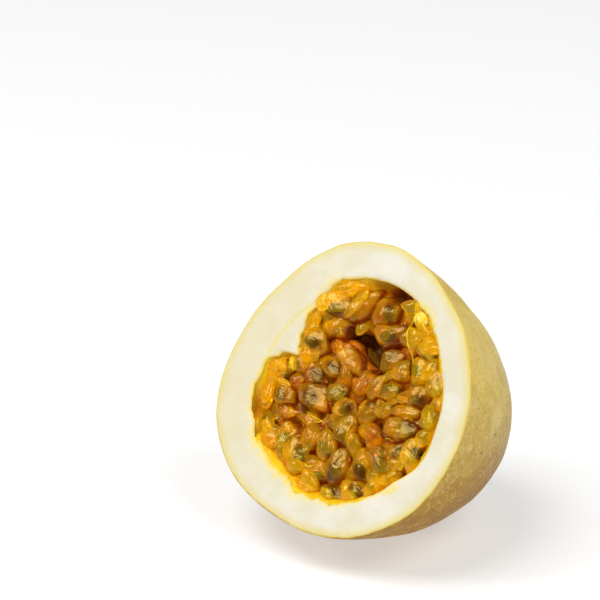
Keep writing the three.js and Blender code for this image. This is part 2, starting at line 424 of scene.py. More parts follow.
rind = {
    "columns": 400,
    "skinRows": 112,
    "faceRows": 28,
    "cavityRows": 40,
    "outerRound": 0.35,     # how far the cut's outer and inner corners are rounded over
    "innerRound": 0.55,
    "roundWidths": (0.3, 0.45),
    "undulation": 0.12,     # broad waves in the skin, and smaller ones
    "ripple": 0.03,
    "faceWaves": 0.05,
    "grooveDepth": 0.35,
    "edgeRaggedness": 0.28,
    # the pith's inner edge at the cut: [degrees anticlockwise from +X, radius]
    "pithEdge": [
        (0, 26.3), (30, 24.7), (60, 25.4), (90, 25.8), (112, 25.7), (126, 24.0), (138, 21.8),
        (149, 19.1), (156, 17.3), (162, 16.1), (168, 20.2), (178, 22.9), (200, 24.5), (222, 23.6),
        (245, 22.9), (270, 24.6), (292, 25.8), (320, 26.2), (338, 27.6),
    ],
    # how wide the juice stains the pith at the edge, millimetres
    "stainWidth": [
        (0, 0.5), (40, 0.8), (55, 1.8), (70, 0.6), (85, 0.2), (105, 0.6), (120, 1.8), (150, 0.9),
        (175, 1.2), (200, 0.9), (225, 1.8), (255, 2.0), (280, 1.2), (300, 0.8), (330, 0.6),
    ],
    "fibreRadius": 23.2,    # a thin yellow line of fibres runs behind the swelling
    "fibreWidth": 0.5,
    "raggedDepth": 2.5,     # how far the ragged edge goes down the cavity's wall
    "smear": (21.0, -18.0, 35.0, 2.6, 0.9),   # a smear of juice: x, y, direction, half length, half width
    "smearDepth": 0.8,
}


def angleCurve(points, angle):
    # a value round the fruit: cosine blend between the listed points
    degrees = np.degrees(angle) % 360
    at = np.array([p[0] for p in points] + [360.0])
    value = np.array([p[1] for p in points] + [points[0][1]])
    after = np.clip(np.searchsorted(at, degrees, side="right"), 1, len(at) - 1)
    part = (degrees - at[after - 1]) / (at[after] - at[after - 1])
    blend = (1 - np.cos(np.pi * part)) / 2
    return value[after - 1] * (1 - blend) + value[after] * blend


def skinSection(angle, depth):
    # an ellipse of revolution, skewed and slightly three-cornered at the cut, oval and leaning at mid-depth
    share = depth / skinPole
    bulge = 4 * share * (1 - share)
    corners = -fruit["rimTriangle"] * np.sin(3 * angle) + fruit["rimSquare"] * np.sin(4 * angle)
    ring = 1 + fruit["rimOval"] * np.cos(2 * angle) - fruit["rimSkew"] * np.sin(2 * angle) + corners
    oval = fruit["middleOval"] * np.cos(2 * angle) + fruit["middleSkew"] * np.sin(2 * angle)
    along = (depth - fruit["cutAhead"]) / fruit["halfLength"]
    circle = fruit["widestRadius"] * np.sqrt(np.clip(1 - along ** 2, 0, None))
    radius = circle * (1 + (ring - 1) * (1 - share) + bulge * oval)
    return radius, -fruit["leanLeft"] * bulge, fruit["leanUp"] * bulge


def cavitySection(angle, depth):
    # the skin less a wall that goes from its thickness at the cut to the plain one, closed at the bottom
    radius, x, y = skinSection(angle, depth)
    edgeWall = skinSection(angle, 0.0)[0] - angleCurve(rind["pithEdge"], angle)
    settled = smoothStep(0, fruit["wallSettles"], depth)
    wall = edgeWall * (1 - settled) + fruit["wallThickness"] * settled
    close = np.sqrt(np.clip(1 - (depth / cavityPole) ** 4, 0, None))
    return (radius - wall) * close, x, y


def fromPolar(radius, angle, x, y, depth):
    # points at a radius and angle round (x, y), at a depth below the cut
    return np.stack([x + radius * np.cos(angle), y + radius * np.sin(angle), -depth], -1)


def skinSurface(angle):
    # the skin's section at each depth from the pole to the rim, dimpled at the pole and gently uneven
    turn = np.linspace(0, 1, rind["skinRows"])[:, None]
    depth = rind["outerRound"] + (skinPole - rind["outerRound"]) * np.cos(turn * np.pi / 2)
    radius, x, y = skinSection(angle, depth)
    radius = radius * np.where(turn > 0, 1.0, 0.0)
    dimple = fruit["dimpleDepth"] * np.exp(-(radius / fruit["dimpleRadius"]) ** 2)
    skin = fromPolar(radius, angle, x, y, (depth - dimple) + 0 * angle)
    lift = rind["undulation"] * waves(skin, 16.0, 11) + rind["ripple"] * waves(skin, 5.0, 12)
    outward = skin - np.stack([x + 0 * angle, y + 0 * angle, skin[..., 2]], -1)
    outward /= np.maximum(np.linalg.norm(outward, axis=-1, keepdims=True), 1e-6)
    return skin + outward * (lift * smoothStep(0, 0.1, turn))[..., None], depth


def raggedEdge(angle):
    # the pith's inner edge, made uneven where juice stains it
    edge = angleCurve(rind["pithEdge"], angle)
    line = fromPolar(edge, angle, 0, 0, 0 * angle)
    ragged = rind["edgeRaggedness"] * (waves(line, 5.0, 13) + 0.5 * waves(line, 1.6, 14))
    return edge + ragged * smoothStep(0.3, 1.5, angleCurve(rind["stainWidth"], angle))


def faceSurface(angle, rim, inner):
    # the cut from the rim to the inner edge, both corners rounded over, with a groove behind the swelling
    part = (1 - np.cos(np.linspace(0, np.pi, rind["faceRows"])[:, None])) / 2
    across = rim + (inner - rim) * part
    fromSkin, fromPulp = rim - across, across - inner
    outerWidth, innerWidth = rind["roundWidths"]
    drop = rind["outerRound"] * np.exp(-fromSkin / outerWidth)
    drop = drop + rind["innerRound"] * np.exp(-fromPulp / innerWidth)
    face = fromPolar(across, angle, 0, 0, drop)
    degrees = np.degrees(angle)
    swelling = smoothStep(118, 140, degrees) * smoothStep(182, 168, degrees)
    groove = swelling * np.exp(-((across - rind["fibreRadius"]) / rind["fibreWidth"]) ** 2)
    middle = smoothStep(0, 1.5, fromSkin) * smoothStep(0, 1.5, fromPulp)
    face[..., 2] += rind["faceWaves"] * waves(face, 8.0, 15) * middle
    face[..., 2] -= rind["grooveDepth"] * groove
    return face, fromSkin, fromPulp, groove


def wallSurface(angle, inner):
    # the cavity's wall from the inner edge to the bottom; the edge's raggedness fades with depth
    go = np.linspace(0, 1, rind["cavityRows"])[:, None] ** 1.6
    deep = rind["innerRound"] + (cavityPole - rind["innerRound"]) * go
    radius, x, y = cavitySection(angle, deep)
    keep = np.exp(-(deep - rind["innerRound"]) / rind["raggedDepth"])
    radius = radius + (inner - angleCurve(rind["pithEdge"], angle)) * keep
    return fromPolar(radius, angle, x, y, deep + 0 * angle), deep


def juiceSmear(points):
    # an oval smear that fades from its middle
    x, y, way, halfLong, halfWide = rind["smear"]
    along, beside = turned(points[..., 0] - x, points[..., 1] - y, math.radians(way))
    return np.exp(-(along / halfLong) ** 2 - (beside / halfWide) ** 2)


def makeRind():
    # one closed surface over angle and row: the skin from its pole, the cut face, then the cavity's wall
    angle = roundAngles(rind["columns"])
    skin, depth = skinSurface(angle)
    rim = np.linalg.norm(skin[-1, :, :2], axis=-1)[None, :]
    inner = raggedEdge(angle)
    face, fromSkin, fromPulp, groove = faceSurface(angle, rim, inner)
    wall, deep = wallSurface(angle, inner)
    wall[0, :, :2] = face[-1, :, :2]
    # flat rest spot: nothing reaches below the floor
    row = toRowMetres(np.concatenate([skin, face[1:], wall[1:]]))
    row[..., 2] = np.maximum(row[..., 2], 0)
    points = toFruit(row * 1000)
    # marks for the shader, all in millimetres or 0 to 1
    beyond = 8.0    # past the reach of every edge colour
    skinZeros = np.zeros(skin.shape[:2])
    wallZeros = np.zeros(wall[1:].shape[:2])
    inFrom = np.concatenate([skinZeros - depth, fromSkin[1:], wallZeros + beyond])
    pulpFrom = np.concatenate([skinZeros + beyond, fromPulp[1:], wallZeros - deep[1:]])
    width = np.maximum(angleCurve(rind["stainWidth"], angle), 0.05)
    stain = np.where(pulpFrom < 0, 1.0, np.exp(-np.clip(pulpFrom, 0, None) / width))
    pastRim = np.concatenate([skinZeros, 0 * groove[1:] + 1, wallZeros + 1])
    marks = {
        "fromSkin": inFrom,
        "stain": np.clip(stain + rind["smearDepth"] * juiceSmear(points) * pastRim, 0, 1),
        "fibre": np.concatenate([skinZeros, groove[1:], wallZeros]),
        "wallDepth": np.clip(-pulpFrom, 0, None),
    }
    return meshFrom("rind", *closedPiece(points, marks))


def rindMaterial():
    # skin where the distance in from it is below zero, pith where it is above
    material, tree, shader = newMaterial("skinAndPith", {
        "Subsurface Weight": 0.25,
        "Subsurface Radius": (1.0, 0.8, 0.45),
        "Subsurface Scale": 0.0018,
        "Specular IOR Level": 0.13,
    })
    place = objectPlace(tree)
    parted = addNode(tree, "ShaderNodeSeparateXYZ", {"Vector": place})
    height, side = parted.outputs["Z"], parted.outputs["X"]
    tone, grain = unevenSurface(tree, 70.0, 900.0, 0.35)
    # skin: gold with darker and paler clouds, pale pores and a few dark specks; paler towards the top as
    # painted light, browner underneath as painted shade
    blush = remap(noise(place, 28.0, 2.0), 0.42, 0.66)
    patches = remap(noise(place, 150.0, 4.0, 0.62), 0.44, 0.62)
    paler = remap(noise(place, 85.0, 4.0, 0.6), 0.50, 0.66)
    low = remap(height, 0.022, 0.006)
    blemish = remap(noise(place, 230.0, 4.0, 0.6), 0.60, 0.70)
    pits = remap(noise(place, 1150.0, 2.0), 0.50, 0.68)
    pores = addNode(tree, "ShaderNodeTexVoronoi", {"Vector": place, "Scale": 1250.0, "Randomness": 1.0})
    poreSize = remap(noise(place, 420.0, 2.0), 0.26, 0.60, 0.10, 0.42)
    softPore = remap(mathNode("SUBTRACT", poreSize, pores.outputs["Distance"]), -0.08, 0.10)
    specks = addNode(tree, "ShaderNodeTexVoronoi", {"Vector": place, "Scale": 120.0, "Randomness": 1.0})
    skin = layered(rgb(0.77, 0.63, 0.27), [
        ((tone, 0.35, 0.65), (0.88, 0.76, 0.42)),
        (times(blush, 0.7), (0.89, 0.77, 0.40)),
        # painted light: paler towards the top; painted shade: darker and browner towards the bottom
        ((height, 0.028, 0.050, 0.0, 0.9), (0.98, 0.86, 0.46)),
        ((height, 0.037, 0.011, 0.0, 0.95), (0.60, 0.42, 0.03)),
        (times(patches, 0.55), (0.91, 0.86, 0.62), "MULTIPLY"),
        (times(paler, 0.42), (0.96, 0.87, 0.56)),
        (times(blemish, times(low, 0.6)), (0.50, 0.36, 0.12)),
        (times(pits, 0.22), (0.66, 0.50, 0.20)),
        (times(softPore, 0.30), (0.98, 0.90, 0.60)),
        (times(remap(specks.outputs["Distance"], 0.06, 0.03), 0.8), (0.36, 0.29, 0.16)),
        # painted shade: a darker, browner multiply towards the bottom
        ((height, 0.030, 0.012), (0.96, 0.91, 0.40), "MULTIPLY"),
    ])
    # pith: creamy white, yellow towards the skin, stained by juice at the pulp
    wobble = times(mathNode("SUBTRACT", noise(place, 300.0), 0.5), 0.7)
    inside = mathNode("ADD", mark(tree, "fromSkin"), wobble)
    stain = times(mark(tree, "stain"), remap(noise(place, 420.0), 0.2, 0.62, 0.35, 1.0))
    pith = layered(rgb(0.885, 0.858, 0.755), [
        ((noise(place, 140.0, 4.0), 0.35, 0.65), (0.91, 0.893, 0.83)),
        ((side, 0.0, -0.03, 0.0, 0.6), (0.88, 0.83, 0.66)),
        ((inside, 2.7, 0.2, 0.0, 0.8), (0.89, 0.83, 0.52)),
        ((inside, 0.6, 0.0), (0.88, 0.78, 0.36)),
        ((stain, 0.10, 0.80, 0.0, 0.9), (0.96, 0.86, 0.42)),
        ((stain, 0.62, 1.0, 0.0, 0.8), (0.97, 0.78, 0.20)),
        ((mark(tree, "fibre"), 0.1, 1.0, 0.0, 0.7), (0.93, 0.86, 0.42)),
        ((mark(tree, "wallDepth"), 0.8, 5.0), (0.90, 0.60, 0.10)),
    ])
    isPith = remap(inside, -0.12, 0.3)
    waxy = remap(tone, 0.3, 0.7, 0.36, 0.50)
    roughness = addNode(tree, "ShaderNodeMix", {0: isPith, 2: waxy, 3: 0.6}, data_type="FLOAT").outputs[0]
    setInputs(shader, {"Base Color": mixColors(isPith, skin, pith), "Roughness": roughness})
    relief = mathNode("MULTIPLY_ADD", grain, 0.6, times(pits, -0.4))
    bumpFrom(shader, relief, 0.3, 0.0004)
    return material


finishPiece(makeRind(), rindMaterial(), ["rind"])
print("rind ready")

# hollows where the pulp has sunk: x, y, half length, half width, direction, depth
hollows = [
    (1.6, 10.7, 4.6, 2.5, -36, 6.0), (-4.4, 13.0, 3.2, 1.4, -10, 2.8), (5.0, 6.6, 1.6, 1.1, 40, 2.2),
    (11.0, -5.2, 1.8, 1.2, 30, 3.0), (-10.2, -6.4, 1.7, 1.1, 0, 2.6), (20.0, -13.0, 1.7, 1.4, 0, 3.0),
    (4.4, 24.0, 5.0, 2.0, -15, 3.4), (-19.4, -10.6, 3.6, 1.8, -70, 2.6),
]


def hollowDepth(x, y):
    # sum of oval dips
    total = np.zeros_like(x)
    for hx, hy, halfLong, halfWide, way, depth in hollows:
        along, beside = turned(x - hx, y - hy, math.radians(way))
        total += depth * np.exp(-((along / halfLong) ** 2 + (beside / halfWide) ** 2) ** 1.5)
    return total


# juice sacs: one piece for each CAD sac, rounded from its flat faces

sacs = {
    "around": 84,
    "along": 44,
    "sharpness": 28.0,      # how squarely the pressed sides meet
    "swell": 1.22,          # of the sides that press on nothing
    "press": 0.02,          # how far two sacs run into each other
    "neighbours": 11.0,     # centres further apart than this never touch
    "crease": 0.11,
    "dent": 0.10,
    "streak": 0.10,         # of the fine lengthwise creases
    "tailLength": 0.10,
    "facets": 8,            # slack flat patches on each sac's upper side
    "facetCut": (0.84, 0.97),
    "broadCut": (0.74, 0.86),   # one of them is broader
    "sink": 0.75,           # share of a hollow's depth that the sacs over it sink
    "highest": 0.6,         # no sac stands further above the cut
    "glow": 0.135,          # light that scatters about in the juice
    # how amber the juice gets, with painted shade downwards and in the hollows: where that starts, where it
    # ends, by how much
    "edgeAmber": (0.5, 10.0, 0.62),     # away from the pith's edge
    "depthShade": (1.0, 6.0, 0.5),      # painted shade downwards
    "lowestShade": (2.0, 4.0, 0.9),     # painted shade on the smaller sacs further down
    "hollowShade": (0.6, 3.0, 0.8),     # painted shade over the hollows
    # darker and paler areas of the pulp: x, y, radius, change of amber; the first is painted shade from the
    # pith's edge over the left side
    "toneAndShadeSpots": [(-17, -3, 8, 0.40), (17, 9, 8, -0.25), (6, -18, 9, -0.22), (-9, 9, 7, 0.12)],
}

# seeds that show: x, y, direction of the long axis, length, width, how dark it shows
seedPlaces = [
    (-10.2, 16.7, 8, 4.8, 2.7, 0.95), (-12.9, 8.3, -15, 3.8, 2.4, 0.6), (-5.6, 4.2, -15, 3.2, 2.0, 0.55),
    (-9.6, 1.6, -20, 3.9, 2.7, 0.95), (-17.4, -0.6, 0, 3.4, 2.0, 0.7), (-18.0, -5.0, -20, 3.5, 2.2, 0.6),
    (-8.3, -3.5, -25, 4.0, 3.0, 0.9), (-2.9, -1.3, 20, 4.2, 2.8, 0.9), (1.7, -4.0, 30, 3.0, 2.4, 0.85),
    (4.4, 19.2, -50, 3.5, 2.8, 0.8), (6.8, 14.2, 10, 3.3, 2.4, 0.75), (18.0, 11.6, 0, 3.6, 2.0, 0.9),
    (23.2, 6.6, -65, 4.0, 2.6, 0.9), (8.4, 10.6, 0, 2.8, 2.0, 0.5), (9.3, 3.8, 10, 3.0, 1.7, 0.5),
    (13.0, 3.9, 25, 2.8, 1.7, 0.8), (18.8, 2.3, 10, 3.5, 2.4, 0.75), (18.8, -3.6, 0, 4.2, 2.9, 0.9),
    (7.0, -1.7, 0, 3.3, 3.1, 0.9), (22.9, -8.6, 20, 3.7, 2.9, 0.9), (16.0, -13.7, -30, 3.9, 2.6, 0.9),
    (10.9, -16.0, -50, 3.5, 2.6, 0.85), (2.7, -10.3, -60, 3.3, 2.1, 0.7),
    (0.3, -14.6, -35, 4.0, 2.2, 0.75), (4.4, -17.7, -80, 4.1, 3.1, 0.95),
    (-6.0, -16.2, -45, 3.3, 2.3, 0.6), (-12.0, -15.2, 70, 3.4, 2.6, 0.95),
    (1.0, -19.9, 0, 3.4, 1.5, 0.9), (5.0, -22.0, -5, 4.0, 2.2, 0.75), (11.4, -20.5, -20, 3.4, 2.1, 0.8),
    (0.3, -7.4, 20, 2.9, 2.4, 0.7), (23.5, -0.6, 60, 3.2, 2.4, 0.4), (-14.6, -10.9, 15, 2.6, 1.6, 0.5),
    (18.3, -9.3, 60, 2.8, 2.0, 0.35), (-13.0, 13.9, 30, 3.0, 2.0, 0.3), (14.6, 8.9, -35, 3.4, 2.2, 0.3),
]

seedFit = {
    "near": 0.75,           # how close to a seed's place a sac's surface has to come
    "thickness": 0.6,       # share of the width
    "cover": 0.2,           # jelly over the seed
    "inside": 0.93,         # share of the sac's own radius that a seed may reach
    "tries": 12,
}


def solidFacts(corners):
    # volume centre of a triangulated solid, its faces' planes, its corners and its axes, longest first
    a, b, c = corners[:, 0], corners[:, 1], corners[:, 2]
    cross = np.cross(b - a, c - a)
    share = (a * cross).sum(-1)
    centre = ((a + b + c) / 4 * share[:, None]).sum(0) / share.sum()
    area = np.linalg.norm(cross, axis=-1) / 2
    real = area > 1e-3
    normal = cross[real] / (2 * area[real, None])
    reach = ((a[real] - centre) * normal).sum(-1)
    planes = np.unique(np.round(np.column_stack([normal, reach]), 2), axis=0)
    middle = (a + b + c)[real] / 3 - centre
    axes = np.linalg.eigh((middle * area[real, None]).T @ middle)[1][:, ::-1].T
    axes[2] = np.cross(axes[0], axes[1])
    return {"centre": centre, "normals": planes[:, :3], "reach": np.clip(planes[:, 3], 0.25, None),
            "corners": corners.reshape(-1, 3), "axes": axes}


def pressPlanes(own, others):
    # each neighbour adds a plane halfway between the two solids, square to the face that best parts them
    normals, reach = [], []
    for other in others:
        away = other["centre"] - own["centre"]
        if not 0 < np.linalg.norm(away) < sacs["neighbours"]:
            continue
        gap = ((other["corners"] - own["centre"]) @ own["normals"].T).min(0) - own["reach"]
        back = ((own["corners"] - other["centre"]) @ other["normals"].T).min(0) - other["reach"]
        if gap.max() >= back.max():
            best = gap.argmax()
            normals.append(own["normals"][best])
            reach.append(own["reach"][best] + max(gap[best], 0) / 2)
        else:
            best = back.argmax()
            normals.append(-other["normals"][best])
            reach.append(-away @ other["normals"][best] - other["reach"][best] - max(back[best], 0) / 2)
    return np.array(normals), np.clip(np.array(reach) + sacs["press"], 0.25, None)


def sphereDirections(axes):
    # unit directions on a grid whose poles lie on the first axis, tail first
    v = np.linspace(0, np.pi, sacs["along"])[:, None, None]
    u = np.linspace(0, 2 * np.pi, sacs["around"], endpoint=False)[None, :, None]
    return -np.cos(v) * axes[0] + np.sin(v) * (np.cos(u) * axes[1] + np.sin(u) * axes[2]), v[..., 0]


def wrinkled(points, centre, axes, direction, v, seed, amount=1.0, size=1.0, streak=0.0):
    # creases that run lengthwise and a few broad dents, fading out at both ends
    local = (points - centre) @ axes.T
    stretched = local * np.array([0.22, 1.0, 1.0])
    ends = np.sin(v) ** 0.7
    crease = folds(stretched + seed, 2.6 * size, seed) - 0.35
    fine = folds(stretched * 1.2 - seed, 1.3 * size, seed + 1) - 0.35
    dent = waves(local + seed, 4.0, seed + 2)
    out = amount * (sacs["crease"] * (crease + 0.45 * fine) + sacs["dent"] * dent)
    if streak:
        out = out + streak * (folds(stretched * 0.8 + 2 * seed, 0.95, seed + 3) - 0.35)
    return points + direction * (out * ends)[..., None]


def sacRadius(facts, direction):
    # soft minimum of the distances at which a direction meets the planes
    cosine = np.clip(direction @ facts["planeNormals"].T, 0, None)
    return ((cosine / facts["planeReach"]) ** sacs["sharpness"]).sum(-1) ** (-1 / sacs["sharpness"])


def slackPatches(facts, number):
    # a sac's skin is slack: planes in random directions, most of them upwards, each take a slice off it
    rng = np.random.default_rng(300 + number)
    heading = rng.normal(size=(sacs["facets"], 3)) * 0.75 + np.array([0.1, 0.15, 0.75])
    heading[0] = (0.27, 0.30, 0.92) + rng.normal(size=3) * 0.10
    heading[1] = (0.05, 0.05, 1.0) + rng.normal(size=3) * 0.12
    heading = unit(heading)
    cut = rng.uniform(*sacs["facetCut"], sacs["facets"])
    cut[0] = rng.uniform(*sacs["broadCut"])
    reach = sacRadius(facts, heading) * cut
    facts["films"] = heading[:3] / reach[:3, None]
    facts["planeNormals"] = np.concatenate([facts["planeNormals"], heading])
    facts["planeReach"] = np.concatenate([facts["planeReach"], reach])


def pressedSac(number, facts, others):
    # the sides that touch a neighbour stay flat, the others swell
    normals, reach = pressPlanes(facts, others)
    top = np.array([[0.0, 0.0, 1.0]])
    facts["planeNormals"] = np.concatenate([facts["normals"], normals, top])
    above = max(sacs["highest"] - facts["centre"][2], 0.5)
    facts["planeReach"] = np.concatenate([facts["reach"] * sacs["swell"], reach, [above]])
    slackPatches(facts, number)
    direction, v = sphereDirections(facts["axes"])
    tail = 1 + sacs["tailLength"] * np.exp(-(v / 0.3) ** 2)
    points = facts["centre"] + direction * (sacRadius(facts, direction) * tail)[..., None]
    # pale film and painted highlight where a slice, rather than a side, bounds the sac, in lengthwise
    # streaks; these slices face mostly upwards
    slices = (direction @ facts["films"].T).max(-1) * sacRadius(facts, direction)
    local = (points - facts["centre"]) @ facts["axes"].T * np.array([0.16, 1.0, 1.0])
    streaks = 0.35 + 0.95 * folds(local + number, 1.5, 700 + number)
    film = np.clip(smoothStep(0.90, 0.98, slices) * streaks, 0, 1)
    amount = 2.3 if number % 5 in (1, 3) else 1.5
    amount = amount * (1 - 0.55 * smoothStep(0.92, 1.0, slices))
    points = wrinkled(points, facts["centre"], facts["axes"], direction, v, 100 + number, amount,
                      streak=sacs["streak"])
    points[..., 2] -= sacs["sink"] * hollowDepth(points[..., 0], points[..., 1])
    return points, film


def edgeDistance(points):
    # how far inside the pith's edge a point lies
    angle = np.arctan2(points[..., 1], points[..., 0])
    return angleCurve(rind["pithEdge"], angle) - np.hypot(points[..., 0], points[..., 1])


def sacMarks(points, number, shadow, film=0.0):
    # amber grows away from the edge; painted shade deepens it downwards and in the hollows; each sac also
    # has its own tone
    rng = np.random.default_rng(500 + number)
    own = rng.uniform(-0.28, 0.28)
    for x, y, radius, change in sacs["toneAndShadeSpots"]:
        own = own + change * np.exp(-((points[..., 0] - x) ** 2 + (points[..., 1] - y) ** 2) / radius ** 2)
    below = -points[..., 2]
    hollow = hollowDepth(points[..., 0], points[..., 1])
    amber = ramp(edgeDistance(points), *sacs["edgeAmber"]) + ramp(below, *sacs["depthShade"])
    amber = np.clip(amber + own, 0, 1) + ramp(hollow, *sacs["hollowShade"])
    amber = amber + ramp(below, *sacs["lowestShade"])
    drop = points[..., 2].max() - points[..., 2]
    # side: darker down each sac's sides, the deeper amber of thick jelly and painted shade between the
    # sacs; rim: a painted band of light just under each sac's top
    side = smoothStep(0.9, 2.6, drop)
    rim = smoothStep(0.2, 0.8, drop) * smoothStep(2.0, 1.1, drop) * (1 - 0.6 * smoothStep(0.4, 1.2, amber))
    film = film * (1 - 0.95 * shadow)
    return {"amber": amber, "seedShadow": shadow, "side": side, "rim": rim, "film": film}


def ellipsoidSurface(centre, axes, half, rows=16, columns=24, point=0.0):
    # an ellipsoid along its first axis, its ends drawn out to blunt points
    v = np.linspace(0, np.pi, rows)[:, None]
    u = roundAngles(columns)
    along = -np.cos(v) * (1 + point * np.cos(v) ** 4)
    across = np.sin(v)
    local = np.stack([along + 0 * u, across * np.cos(u), across * np.sin(u)], -1) * half
    return centre + local @ axes


def planeAxes(degrees, tip=0.0):
    # directions along, across and out of the cut face, the first turned and tipped out of the plane
    a, t = math.radians(degrees), math.radians(tip)
    along = np.array([math.cos(a) * math.cos(t), math.sin(a) * math.cos(t), math.sin(t)])
    across = np.array([-math.sin(a), math.cos(a), 0.0])
    return np.stack([along, across, np.cross(along, across)])


def placeSeeds(sacPoints, allFacts):
    # each seed lies in the sac that it is deepest inside, close under that sac's upper side
    placed = {}
    for x, y, degrees, length, width, dark in seedPlaces:
        best = None
        for name, points in sacPoints.items():
            near = np.hypot(points[..., 0] - x, points[..., 1] - y) < seedFit["near"]
            if not near.any():
                continue
            front = points[..., 2][near].max()
            inner = np.hypot(allFacts[name]["centre"][0] - x, allFacts[name]["centre"][1] - y)
            score = front - 0.25 * inner
            if best is None or score > best[0]:
                best = (score, name, front)
        if best is None:
            continue
        thick = seedFit["thickness"] * width
        facts = allFacts[best[1]]
        centre = np.array([x, y, best[2] - seedFit["cover"] - thick / 2])
        axes = planeAxes(degrees)
        half = np.array([length, width, thick]) / 2
        # it moves towards the sac's middle and shrinks until it is inside
        for _ in range(seedFit["tries"]):
            away = ellipsoidSurface(centre, axes, half).reshape(-1, 3) - facts["centre"]
            far = np.linalg.norm(away, axis=-1)
            out = (far / sacRadius(facts, away / far[:, None])).max()
            if out < seedFit["inside"]:
                break
            centre = centre + 0.12 * (facts["centre"] - centre)
            half = half * 0.985
        placed.setdefault(best[1], []).append((centre, axes, half, dark))
    return placed


def seedShadow(points, seeds):
    # the jelly darkens where a seed lies close under it: falls off with the distance to the seed's surface
    shadow = np.zeros(points.shape[:2])
    for centre, axes, half, dark in seeds:
        local = (points - centre) @ axes.T
        distance = (np.linalg.norm(local / half, axis=-1) - 1) * half.mean()
        shadow = np.maximum(shadow, dark ** 0.4 * smoothStep(1.3, 0.25, distance))
    return shadow


def dullWhereDeep(shader, amber, plain, shade=None):
    # a golden gloss, rougher in the dark hollows, under a coat that thins there and over the seeds
    deep = remap(amber, 1.0, 1.7)
    thin = mathNode("MAXIMUM", deep, times(shade, 0.6)) if shade else deep
    setInputs(shader, {
        "Roughness": mathNode("ADD", times(deep, 0.35), plain),
        "Coat Weight": mathNode("SUBTRACT", 0.18, times(thin, 0.16)),
        "Specular Tint": (1.0, 0.70, 0.18, 1.0),
    })


def juiceMaterial():
    # clear jelly whose colour follows its amber and painted shade, dark over seeds, with a faint painted
    # glow from within
    material, tree, shader = newMaterial("juiceJelly", {
        "IOR": 1.50,
        "Transmission Weight": 0.86,
        "Coat Roughness": 0.04,
        "Emission Strength": sacs["glow"],
    })
    tone, grain = unevenSurface(tree, 240.0, 1500.0, 0.3)
    amber = cloudyAmberAndShade(tone, 0.9)
    side, rim, shade = mark(tree, "side"), mark(tree, "rim"), mark(tree, "seedShadow")
    color = layered(rgb(1.0, 0.86, 0.04), [
        ((amber, 0.0, 0.5), (1.0, 0.77, 0.03)),
        ((amber, 0.5, 1.1), (0.98, 0.62, 0.02)),
        ((amber, 1.1, 1.9), (0.68, 0.27, 0.01)),
        # painted shade darkens each sac's sides; a painted band of light brightens it just under its top
        (times(side, 0.92), (0.60, 0.23, 0.01)),
        (times(rim, 0.65), (1.0, 0.88, 0.05)),
        (shade, (0.42, 0.13, 0.03)),
        # pale film and painted highlight on the upward slices
        (times(mark(tree, "film"), 0.6), (0.90, 0.76, 0.22)),
    ])
    # painted light: the emission stands in for light that scatters in the jelly, darkened by painted shade
    # in the depths and down the sides, brighter in the painted band under each top
    glow = layered(rgb(1.0, 0.82, 0.0), [
        ((amber, 0.0, 0.9), (0.66, 0.25, 0.0)),
        ((amber, 0.9, 1.7), (0.42, 0.16, 0.0)),
        (side, (0.26, 0.06, 0.0)),
        (times(rim, 0.8), (1.0, 0.76, 0.0)),
        ((shade, 0.0, 0.7), (0.66, 0.36, 0.0)),
    ])
    setInputs(shader, {"Base Color": color, "Emission Color": glow})
    bumpFrom(shader, grain, 0.12, 0.0003)
    dullWhereDeep(shader, amber, 0.13, shade)
    return material


juice = juiceMaterial()
seedCoat = brownMaterial(
    "seedCoat", 500.0, 1800.0, (0.08, 0.03, 0.02), (0.22, 0.10, 0.07), 0.5, 0.0003,
    {"Roughness": 0.5, "Specular IOR Level": 0.15},
)


def makeSacs():
    # every sac is shaped from its own solid and its neighbours', then the seeds go in
    names = sorted(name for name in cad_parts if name.startswith("juice_sac_"))
    facts = {name: solidFacts(toFruit(nodeMesh(name))) for name in names}
    surfaces, films = {}, {}
    for number, name in enumerate(names):
        others = [facts[other] for other in names if other != name]
        surfaces[name], films[name] = pressedSac(number, facts[name], others)
    placed = placeSeeds(surfaces, facts)
    seedParts = []
    for number, name in enumerate(names):
        shadow = seedShadow(surfaces[name], placed.get(name, []))
        marks = sacMarks(surfaces[name], number, shadow, films[name])
        sac = meshFrom("juiceSac" + name[-2:], *closedPiece(surfaces[name], marks))
        finishPiece(sac, juice, [name])
        for centre, axes, half, _ in placed.get(name, []):
            seedParts.append(closedPiece(ellipsoidSurface(centre, axes, half, point=0.12)))
    finishPiece(meshFrom("seeds", *joined(seedParts)), seedCoat)
    print(len(names), "juice sacs and", len(seedParts), "seeds ready")
    return list(surfaces.values())


sacSurfaces = makeSacs()

# pulp bed: the deeper pulp in one mass, which climbs the cavity's wall

bed = {
    "columns": 360,
    "topRows": 120,
    "wallRows": 24,
    "middleDepth": 4.8,
    "climb": 5.5,           # how far from the wall the rise begins
    "lumpHeight": 1.7,
    "lumpSpacing": 4.2,
    "growsIn": 0.5,         # how far the pulp runs into the cavity's wall
    "lumpHalves": (4.0, 2.3),   # half length and half width of a lump
    # depth of the pulp where it meets the wall: [degrees, millimetres]
    "rimDepth": [
        (0, 0.7), (40, 0.6), (66, 1.2), (78, 3.6), (90, 3.2), (100, 0.7), (130, 0.45), (160, 0.5),
        (185, 0.6), (204, 3.2), (214, 2.6), (222, 0.5), (270, 0.45), (300, 0.5), (313, 2.6), (322, 2.4),
        (332, 0.7),
    ],
}


